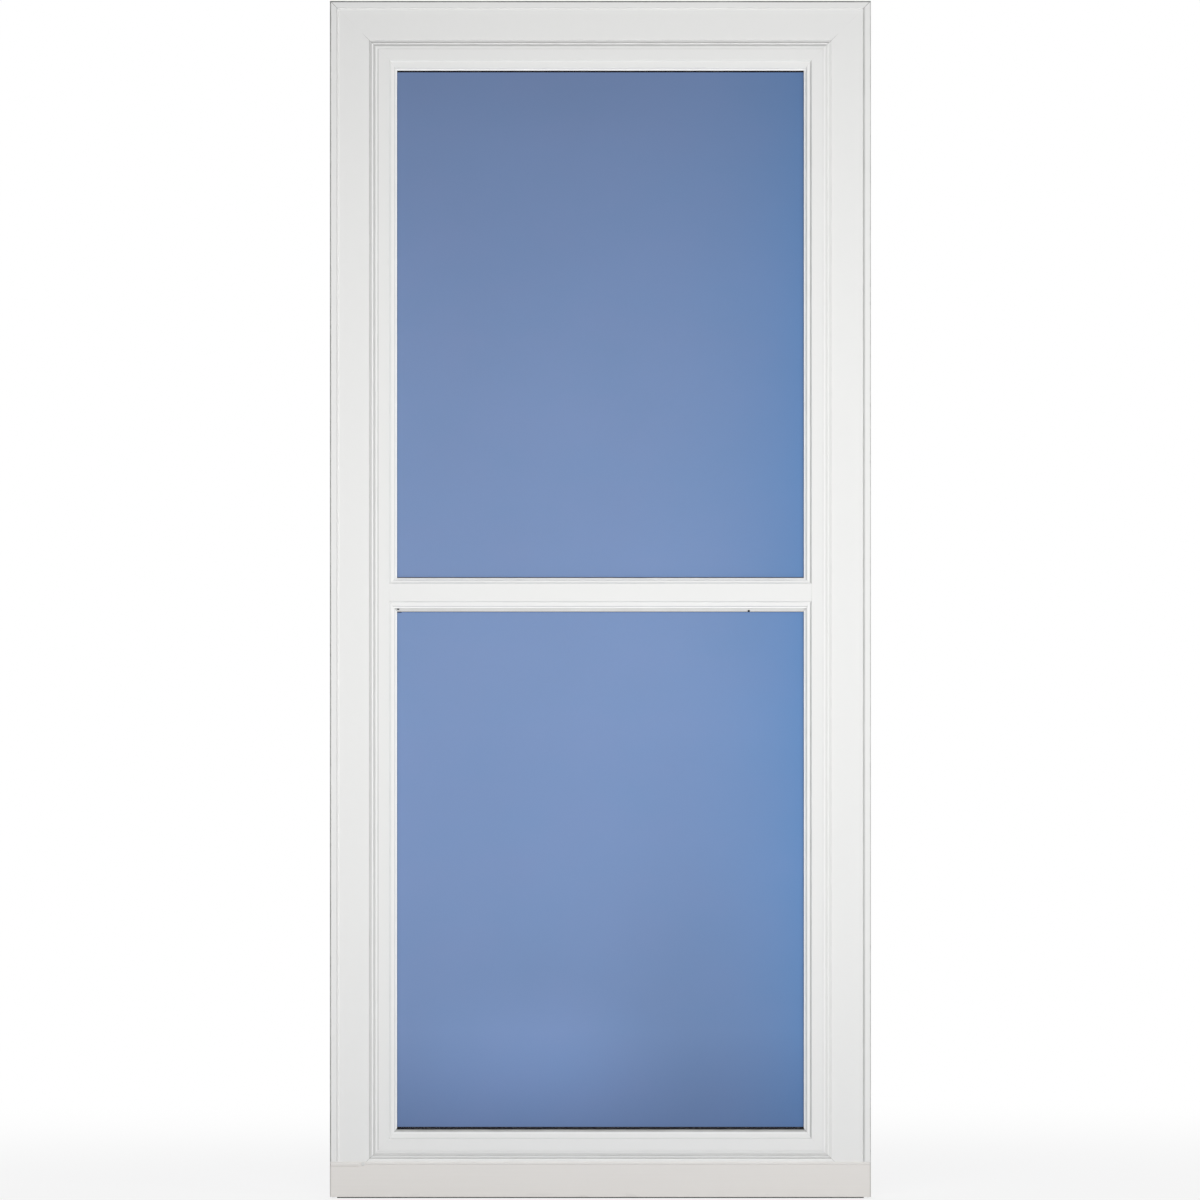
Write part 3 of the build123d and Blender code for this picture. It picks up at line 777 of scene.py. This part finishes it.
def pile_tree(material):
    """Bristles along each loose edge of a mesh, beside the faces that it already has."""
    net, given = new_tree("pile_bristles", {
        "Pitch": 0.0012, "Bristle Height": 0.003, "Bristle Radius": 0.00036, "Lean": 0.12,
        "Seed": 3})
    lean, seed = given.beside("Lean"), given.beside("Seed")
    loose = net.node("GeometryNodeInputMeshEdgeNeighbors") < 0.5
    rows = net.node("GeometryNodeMeshToCurve", values={"Mesh": given, "Selection": loose})
    rows = net.node("GeometryNodeResampleCurve", {"mode": "LENGTH"}, {
        "Curve": rows, "Length": given.beside("Pitch")})
    radius = given.beside("Bristle Radius")
    bristle = net.node("GeometryNodeMeshCone", {"fill_type": "NGON"}, {
        "Vertices": 4, "Radius Top": radius * 0.6, "Radius Bottom": radius,
        "Depth": given.beside("Bristle Height")})
    upright = math.pi / 2
    low = net.vector(upright - lean, -1 * lean)
    high = net.vector(upright + lean, lean)
    turn = net.node("FunctionNodeRandomValue", {"data_type": "FLOAT_VECTOR"}, {
        VECTOR_LOW: low, VECTOR_HIGH: high, RANDOM_SEED: seed})
    size = net.node("FunctionNodeRandomValue", {"data_type": "FLOAT"}, {
        FLOAT_LOW: 0.84, FLOAT_HIGH: 1, RANDOM_SEED: seed}, out=RANDOM_FLOAT)
    tufts = net.node("GeometryNodeInstanceOnPoints", values={
        "Points": rows, "Instance": bristle, "Rotation": turn, "Scale": size})
    backing = net.node("GeometryNodeDeleteGeometry", {"domain": "EDGE"}, {
        "Geometry": given, "Selection": loose})
    joined = net.node("GeometryNodeJoinGeometry", values={0: [backing, tufts]})
    return realized(net, joined, material)


def screws(name, places, body, head_size, tree):
    """Screw heads at places of (point, direction that the head faces), as one piece."""
    mesh = bpy.data.meshes.new(name)
    mesh.from_pydata([[c * MM for c in point] for point, _ in places], [], [])
    facing = mesh.attributes.new("facing", "FLOAT_VECTOR", "POINT")
    for index, (_, direction) in enumerate(places):
        facing.data[index].vector = direction
    radius, height = head_size
    heads = grown(f"{name}_making", mesh, tree, {
        "Head Radius": radius, "Head Height": height, "Recess Depth": height * 0.7})
    put(name, heads, body)


def frame_holes(member, axis, spacing):
    """Places of the screw holes along a jamb or the head, from the record's mounts."""
    mounts = {mount["name"]: mount for mount in frame["record"]["mounts"]}
    places = []
    for row in ("outer", "inner"):
        mount = mounts[f"{member}_{row}_screws"]
        middle = mount["pos_m"][axis] / MM
        half = mount["dims"][spacing] / 2
        places += [middle - half, middle + half]
    return places


# Sizes and colours that a user would change
def setting(kind, **limits):
    """What makes a kind of property from its name, description and default."""
    return lambda name, description, default: kind(
        name=name, description=description, default=default, **limits)


count = setting(IntProperty, min=1, max=4)
share = setting(FloatProperty, min=0, max=1)
length = setting(FloatProperty, min=0, precision=5, unit="LENGTH")
power = setting(FloatProperty, min=0, unit="POWER")
colour = setting(FloatVectorProperty, size=3, min=0, max=1, subtype="COLOR")


class StormDoorSizes(bpy.types.PropertyGroup):
    """Sizes of the seals and screws."""

    # The head and foot widths are partly real gasket and partly painted shade between bead and
    # glass
    gasket_head: length("Head gasket", "Gasket seen under the upper pane's head", 0.0029)
    gasket_foot: length("Foot gasket", "Gasket seen at the lower pane's foot", 0.0019)
    gasket_edge: length("Edge gasket", "Gasket seen at the other ends of the panes", 0.0009)
    gasket_side: length("Side gasket", "Gasket seen at the sides of the panes", 0.0003)
    pile_pitch: length("Pile pitch", "Distance from one bristle to the next", 0.0012)
    pile_radius: length("Pile radius", "Radius of a bristle at its root", 0.00036)
    pile_rows: count("Pile rows", "Rows of bristles on each side of the fin", 2)
    frame_screw_radius: length("Frame screw radius", "Head of the screws in the jambs", 0.004)
    frame_screw_height: length("Frame screw height", "Height of those heads", 0.0012)
    plate_screw_radius: length("Hinge screw radius", "Head of the screws in the hinges", 0.003)
    plate_screw_height: length("Hinge screw height", "How far those heads stand proud", 0.0003)
    retainer_screw_radius: length("Retainer screw radius", "Head of the retainers' screws", 0.0026)
    retainer_screw_height: length("Retainer screw height", "Height of those heads", 0.0012)


class StormDoorColours(bpy.types.PropertyGroup):
    """Colours of the finishes."""

    leaf: colour("Leaf", "Paint of the stiles, rails and jambs", (0.8, 0.8, 0.79))
    bead: colour("Beads", "Paint of the glazing beads", (0.8, 0.8, 0.79))
    expander: colour("Expander", "Paint of the bottom expander", (0.775, 0.751, 0.723))
    # One dark colour for grime in grooves and joints and for painted shade along steps, edges and
    # the sweep's foot
    dust: colour("Dust", "Dust that lies in grooves and joints", (0.22, 0.22, 0.21))
    # The glass colours paint a reflection: palest in the middle, deeper at the head, the foot and
    # the hinge side
    glass_middle: colour("Glass", "Glass where it is palest", (0.178, 0.277, 0.505))
    glass_head: colour("Glass at the head", "Glass along the top", (0.124, 0.193, 0.366))
    glass_foot: colour("Glass at the foot", "Glass along the bottom", (0.108, 0.182, 0.37))
    glass_side: colour("Hinge side tint", "What the glass is multiplied by there", (0.54, 0.86, 1))
    gasket: colour("Gasket", "Rubber gaskets round the panes", (0.012, 0.012, 0.016))
    retainer: colour("Retainers", "Vinyl retainers behind the panes", (0.78, 0.78, 0.77))
    sweep: colour("Sweep", "Vinyl sweep under the leaf", (0.46, 0.46, 0.45))
    pile: colour("Pile", "Pile seals of the frame", (0.4, 0.4, 0.39))
    steel: colour("Hinges", "Zinc plate of the hinges", (0.55, 0.55, 0.56))
    screw: colour("Screws", "Paint of the screw heads", (0.75, 0.75, 0.74))


class StormDoorStage(bpy.types.PropertyGroup):
    """Camera, lamps and floor."""

    distance: length("Camera distance", "From the camera to the door", 15)
    height: length("Picture height", "Height that the picture takes in at the door", 2.04)
    floor_radius: length("Floor radius", "Radius of the pale floor", 3.2)
    ambient: share("Ambient", "Light from all round", 0.15)
    key: power("Key lamp", "In front of the door", 41.5)
    side: power("Side lamp", "At the hinge side", 25.5)
    back: power("Back lamp", "Behind the door", 70)
    top: power("Top lamp", "Above the door", 16)
    ends: power("Edge lamps", "Beside the door", 18)


# Stage
def seen_directly(net):
    """1 for what the camera, a reflection or a clear pane sees of the surroundings."""
    ray = net.node("ShaderNodeLightPath", out="Is Camera Ray")
    mirrored = ray.beside("Is Glossy Ray")
    through = ray.beside("Is Transmission Ray")
    return net.most(ray, net.most(mirrored, through))


def white_world(stage):
    """White surroundings that light the door only by the ambient share."""
    world = bpy.data.worlds.new("white_surroundings")
    bpy.context.scene.world = world
    world.use_nodes = True
    net = Net(world.node_tree)
    background = net.tree.nodes["Background"]
    background.inputs["Color"].default_value = (1, 1, 1, 1)
    strength = seen_directly(net) * (1 - stage.ambient) + stage.ambient
    net.tree.links.new(strength.socket, background.inputs["Strength"])


def pale_floor(stage):
    """A pale disc that keeps the door's shadow and fades into the white round it."""
    shape = bmesh.new()
    radius = stage.floor_radius / MM
    bmesh.ops.create_circle(shape, cap_ends=True, segments=96, radius=radius)
    for vertex in shape.verts:
        vertex.co += Vector((MIDDLE, 0, -1))
    mesh = mesh_of("floor", shape)
    floor = linked("floor", mesh)
    net = Finish("floor_white", 0.1)
    net.fix("Base Color", (0.7, 0.7, 0.7, 1))
    net.fix("Roughness", 0.9)
    across = net.x - MIDDLE
    away = net.maths("SQRT", across * across + net.y * net.y)
    fade = net.smooth(away, radius * 0.25, radius * 0.97)
    white = net.node("ShaderNodeEmission", values={"Color": (1, 1, 1, 1), "Strength": 1.0})
    share = seen_directly(net) * (0.8 + fade * 0.2)
    mixed = net.node("ShaderNodeMixShader", values={
        0: share, 1: Wire(net, net.shader.outputs[0]), 2: white})
    output = net.tree.nodes["Material Output"]
    net.tree.links.new(mixed.socket, output.inputs["Surface"])
    mesh.materials.append(net.material)


def white_camera(stage):
    """A level camera square to the door's face."""
    shift, height = 0.7 * MM, 1.0171
    data = bpy.data.cameras.new("camera")
    data.sensor_width = 36.0
    data.lens = data.sensor_width * (stage.distance + FRONT * MM) / stage.height
    data.clip_end = 200.0
    camera = linked("camera", data)
    camera.location = (MIDDLE * MM - shift, -stage.distance, height)
    camera.rotation_euler = (math.pi / 2, 0, 0)
    bpy.context.scene.camera = camera


def soft_lamp(name, place, target, size, power, shows_in_gloss=False):
    """A soft lamp in metres that looks at a target."""
    data = bpy.data.lights.new(name, "AREA")
    data.shape = "RECTANGLE"
    data.size, data.size_y = size
    data.energy = power
    lamp = linked(name, data)
    lamp.location = place
    lamp.rotation_euler = (Vector(target) - Vector(place)).to_track_quat("-Z", "Y").to_euler()
    lamp.visible_camera = False
    lamp.visible_glossy = shows_in_gloss


class STORM_DOOR_OT_stage(bpy.types.Operator):
    """Sets up the camera, the lamps, the white surroundings and the floor"""

    bl_idname = "storm_door.stage"
    bl_label = "Stage"

    def execute(self, context):
        stage = context.scene.storm_door_stage
        context.scene.view_settings.view_transform = "Standard"
        white_camera(stage)
        white_world(stage)
        pale_floor(stage)
        centre, beside = MIDDLE * MM, 3
        soft_lamp("key", (-0.66, -2.6, 1.17), (-0.5, 0, 1.1), (1, 0.8), stage.key)
        soft_lamp("side", (1.57, -2.34, 1.5), (-0.4, 0, 1.05), (1.2, 1.2), stage.side, True)
        soft_lamp("back", (-0.9, 3.4, 1.9), (-0.45, 0, 1), (2.4, 2), stage.back)
        for name, x in (("left", centre - beside), ("right", centre + beside)):
            soft_lamp(name, (x, 0.55, 1.2), (centre, 0.03, 1.05), (0.8, 1.6), stage.ends)
        soft_lamp("top", (-0.45, 0.5, 4.6), (-0.45, 0, 2), (1.6, 0.8), stage.top)
        return {"FINISHED"}


# Pieces
class STORM_DOOR_OT_leaf(bpy.types.Operator):
    """Paints the stiles and rails of the leaf"""

    bl_idname = "storm_door.leaf"
    bl_label = "Stiles and rails"

    def execute(self, context):
        dress(["hinge_stile", "latch_stile", "top_rail", "mid_rail", "bottom_rail"], "leaf")
        return {"FINISHED"}


class STORM_DOOR_OT_glazing(bpy.types.Operator):
    """Finishes the panes, the beads in front of them and the retainers behind them"""

    bl_idname = "storm_door.glazing"
    bl_label = "Panes, beads and retainers"

    def execute(self, context):
        sides = ("left", "right", "top", "bottom")
        dress([f"{pane}_glass" for pane in PANES], "glass")
        dress([f"{pane}_bead_{side}" for pane in PANES for side in sides], "bead")
        dress([f"{pane}_retainer_{side}" for pane in PANES for side in sides], "retainer")
        return {"FINISHED"}


class STORM_DOOR_OT_gaskets(bpy.types.Operator):
    """Lays a dark gasket round each pane, and the small dark bits at the lower pane"""

    bl_idname = "storm_door.gaskets"
    bl_label = "Gaskets"

    def execute(self, context):
        sizes = context.scene.storm_door_sizes
        side, edge = sizes.gasket_side, sizes.gasket_edge
        # How far each gasket shows past its bead: the wide strips at the upper pane's head and the
        # lower pane's foot are partly real gasket and partly painted shade in the gap between bead
        # and glass
        shown = {
            "upper": {"left": side, "right": side, "foot": edge, "head": sizes.gasket_head},
            "lower": {"left": side, "right": side, "foot": sizes.gasket_foot, "head": edge},
        }
        back_section = [(0, GLASS_BACK), (1.5, GLASS_BACK), (1.2, GLASS_BACK + 1.1),
                        (0, GLASS_BACK + 1.6)]
        for pane, opening in PANES.items():
            inset = {"left": SIDE_BEAD, "right": SIDE_BEAD,
                     "foot": opening["foot"], "head": opening["head"]}
            front = {}
            for place, width in shown[pane].items():
                w = width / MM
                front[place] = [(0, GLASS_FRONT), (0, GLASS_FRONT - 2),
                                (w * 0.55, GLASS_FRONT - 1.7), (w * 0.9, GLASS_FRONT - 0.9),
                                (w, GLASS_FRONT)]
            rubber(f"{pane}_gasket", window_ring(pane, inset, front))
            behind = dict.fromkeys(inset, RETAINER_WIDTH)
            back = dict.fromkeys(inset, back_section)
            rubber(f"{pane}_back_gasket", window_ring(pane, behind, back))

        head = PANES["lower"]["high"] - PANES["lower"]["head"]
        step = PANES["lower"]["low"] + PANES["lower"]["foot"]
        left, right = SIGHT_LEFT + SIDE_BEAD, SIGHT_RIGHT - SIDE_BEAD
        clip = -205.8
        rubber_bit("lower_pane_clip", 0.3, (
            (clip, FRONT + 8, head - 0.4), (clip + 3.4, FRONT + 9.9, head + 2.6)))
        rubber_bit("lower_sill_strip", 0.2, (
            (left, FRONT + 8.7, step - 2.2), (right, FRONT + 9.4, step)))
        rubber_bit(
            "lower_corner_plug", 0.3,
            ((left + 0.3, FRONT + 7, head + 2.8), (left + 3.9, FRONT + 9.9, head + 5)),
            ((left + 0.3, FRONT + 9.2, head - 1.7), (left + 8, FRONT + 11.9, head - 0.1)))
        return {"FINISHED"}


class STORM_DOOR_OT_bottom(bpy.types.Operator):
    """Finishes the expander, its sweep and its screw, and adds the clip at its latch end"""

    bl_idname = "storm_door.bottom"
    bl_label = "Bottom expander and sweep"

    def execute(self, context):
        dress(["bottom_expander"], "expander")
        dress(["bottom_sweep"], "sweep")
        dress(["expander_screw"], "screw")
        face, back = FRONT + 2.3, FRONT + 3.6
        foot, top = 54.4, EXPANDER_TOP - 1.4
        proud = 0.5
        rings = []
        for along, inset in ((2, 0.4), (2.6, 0), (49.2, 0), (50, 0.5)):
            x, low, high = LEFT + along, foot + inset, top - inset
            front = face - proud + inset * 0.4
            rings.append([(x, back, low), (x, front + 0.4, low), (x, front, low + 0.8),
                          (x, front, high - 0.7), (x, face, high), (x, back, high)])
        shape = bmesh.new()
        skin(shape, rings)
        clip = mesh_of("expander_end_clip", shape)
        put("expander_end_clip", clip, "leaf", "expander")
        return {"FINISHED"}


class STORM_DOOR_OT_jambs(bpy.types.Operator):
    """Paints the jambs and the head of the frame"""

    bl_idname = "storm_door.jambs"
    bl_label = "Jambs"

    def execute(self, context):
        dress(["hinge_jamb", "latch_jamb", "head_jamb"], "jamb")
        return {"FINISHED"}


class STORM_DOOR_OT_pile(bpy.types.Operator):
    """Makes the three pile seals: a backing, a thin fin and rows of bristles"""

    bl_idname = "storm_door.pile"
    bl_label = "Pile seals"

    def execute(self, context):
        sizes = context.scene.storm_door_sizes
        tree = pile_tree(finish_named("pile"))
        low, high = corners("hinge_weatherstrip")
        start, stop = RIGHT - high[0], RIGHT - low[0]
        backing, fin, rooted = 1.5, 0.15, 1.35
        seal_front, seal_back = low[1], high[1]
        root = seal_back - backing
        middle = (start + stop) / 2
        rows = 2 * sizes.pile_rows + 1
        gap = (stop - start) / rows
        for place in ("hinge", "latch", "head"):
            shape = bmesh.new()
            mitred_bar(shape, place, start, stop, root, seal_back)
            mitred_bar(shape, place, middle - fin, middle + fin, seal_front + 0.1, root + 0.2)
            base = mesh_of(f"{place}_pile_base", shape)
            shape = bmesh.new()
            shape.from_mesh(base)
            for row in range(rows):
                inwards = start + gap * (row + 0.5)
                if abs(inwards - middle) < gap / 2:
                    continue
                line = [shape.verts.new((x * MM, (root - rooted) * MM, z * MM))
                        for x, z in run_ends(place, inwards, 1.2)]
                shape.edges.new(line)
            shape.to_mesh(base)
            shape.free()
            mesh = grown(f"{place}_pile_making", base, tree, {
                "Pitch": sizes.pile_pitch,
                "Bristle Height": (root - seal_front - 0.25) * MM,
                "Bristle Radius": sizes.pile_radius,
            })
            piece = put(f"{place}_pile_seal", mesh, "frame")
            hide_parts(f"{place}_weatherstrip")
        return {"FINISHED"}


class STORM_DOOR_OT_hinges(bpy.types.Operator):
    """Finishes the hinge plates and pins"""

    bl_idname = "storm_door.hinges"
    bl_label = "Hinges"

    def execute(self, context):
        parts = ("leaf_plate", "frame_plate", "pin")
        dress([f"{place}_hinge_{part}" for place in HINGES for part in parts], "steel")
        return {"FINISHED"}


class STORM_DOOR_OT_screws(bpy.types.Operator):
    """Drives the screws of the frame, the hinges and the retainers"""

    bl_idname = "storm_door.screws"
    bl_label = "Screws"

    def execute(self, context):
        sizes = context.scene.storm_door_sizes
        painted = screw_tree(finish_named("screw"))
        plated = screw_tree(finish_named("steel"))

        size = (sizes.frame_screw_radius, sizes.frame_screw_height)
        side = frame_holes("hinge_jamb", 2, "spacing_y_mm")
        head = frame_holes("head_jamb", 0, "spacing_x_mm")
        jambs = {
            "hinge_jamb": [((RIGHT - JAMB_WEB, 0, z), (-1, 0, 0)) for z in side],
            "latch_jamb": [((LEFT + JAMB_WEB, 0, z), (1, 0, 0)) for z in side],
            "head_jamb": [((x, 0, TOP - JAMB_WEB), (0, 0, -1)) for x in head],
        }
        for jamb, places in jambs.items():
            screws(f"{jamb}_screws", places, "frame", size, painted)

        size = (sizes.plate_screw_radius, sizes.plate_screw_height)
        spacing, plate_middle = 26, -4
        on_leaf, on_frame = [], []
        for place in HINGES:
            low, high = corners(f"{place}_hinge_leaf_plate")
            centre = (low[2] + high[2]) / 2
            for z in (centre - spacing, centre, centre + spacing):
                on_leaf.append(((RIGHT - RIM + 2, plate_middle, z), (1, 0, 0)))
                on_frame.append(((RIGHT - JAMB_WEB - 2, plate_middle, z), (-1, 0, 0)))
        screws("leaf_plate_screws", on_leaf, "leaf", size, plated)
        screws("frame_plate_screws", on_frame, "frame", size, plated)

        size = (sizes.retainer_screw_radius, sizes.retainer_screw_height)
        inset = 4.6
        for pane, opening in PANES.items():
            low, high = opening["low"], opening["high"]
            points = []
            for along in (0.1, 0.5, 0.9):
                x = SIGHT_LEFT + (SIGHT_RIGHT - SIGHT_LEFT) * along
                z = low + (high - low) * along
                points += [(SIGHT_LEFT + inset, z), (SIGHT_RIGHT - inset, z),
                           (x, low + inset), (x, high - inset)]
            places = [((x, RETAINER_BACK, z), (0, 1, 0)) for x, z in points]
            screws(f"{pane}_retainer_screws", places, "leaf", size, painted)
        return {"FINISHED"}


class STORM_DOOR_PT_sidebar(bpy.types.Panel):
    """Lists the door's sizes, colours and pieces"""

    bl_idname = "STORM_DOOR_PT_sidebar"
    bl_label = "Storm Door"
    bl_space_type = "VIEW_3D"
    bl_region_type = "UI"
    bl_category = "Storm Door"

    def draw(self, context):
        layout = self.layout
        for name in GROUPS:
            group = getattr(context.scene, name)
            column = layout.column(align=True)
            for entry in group.__annotations__:
                column.prop(group, entry)
        for operator in OPERATORS:
            layout.operator(operator.bl_idname)


GROUPS = {
    "storm_door_sizes": StormDoorSizes,
    "storm_door_colours": StormDoorColours,
    "storm_door_stage": StormDoorStage,
}
OPERATORS = (
    STORM_DOOR_OT_stage,
    STORM_DOOR_OT_leaf,
    STORM_DOOR_OT_glazing,
    STORM_DOOR_OT_gaskets,
    STORM_DOOR_OT_bottom,
    STORM_DOOR_OT_jambs,
    STORM_DOOR_OT_pile,
    STORM_DOOR_OT_hinges,
    STORM_DOOR_OT_screws,
)


def register():
    for name, group in GROUPS.items():
        bpy.utils.register_class(group)
        setattr(bpy.types.Scene, name, PointerProperty(type=group))
    for kind in OPERATORS + (STORM_DOOR_PT_sidebar,):
        bpy.utils.register_class(kind)


def unregister():
    for kind in reversed(OPERATORS + (STORM_DOOR_PT_sidebar,)):
        bpy.utils.unregister_class(kind)
    for name, group in GROUPS.items():
        delattr(bpy.types.Scene, name)
        bpy.utils.unregister_class(group)


def main():
    register()
    bpy.ops.storm_door.stage()
    bpy.ops.storm_door.leaf()
    bpy.ops.storm_door.glazing()
    bpy.ops.storm_door.gaskets()
    bpy.ops.storm_door.bottom()
    bpy.ops.storm_door.jambs()
    bpy.ops.storm_door.pile()
    bpy.ops.storm_door.hinges()
    bpy.ops.storm_door.screws()


if __name__ == "__main__":
    main()
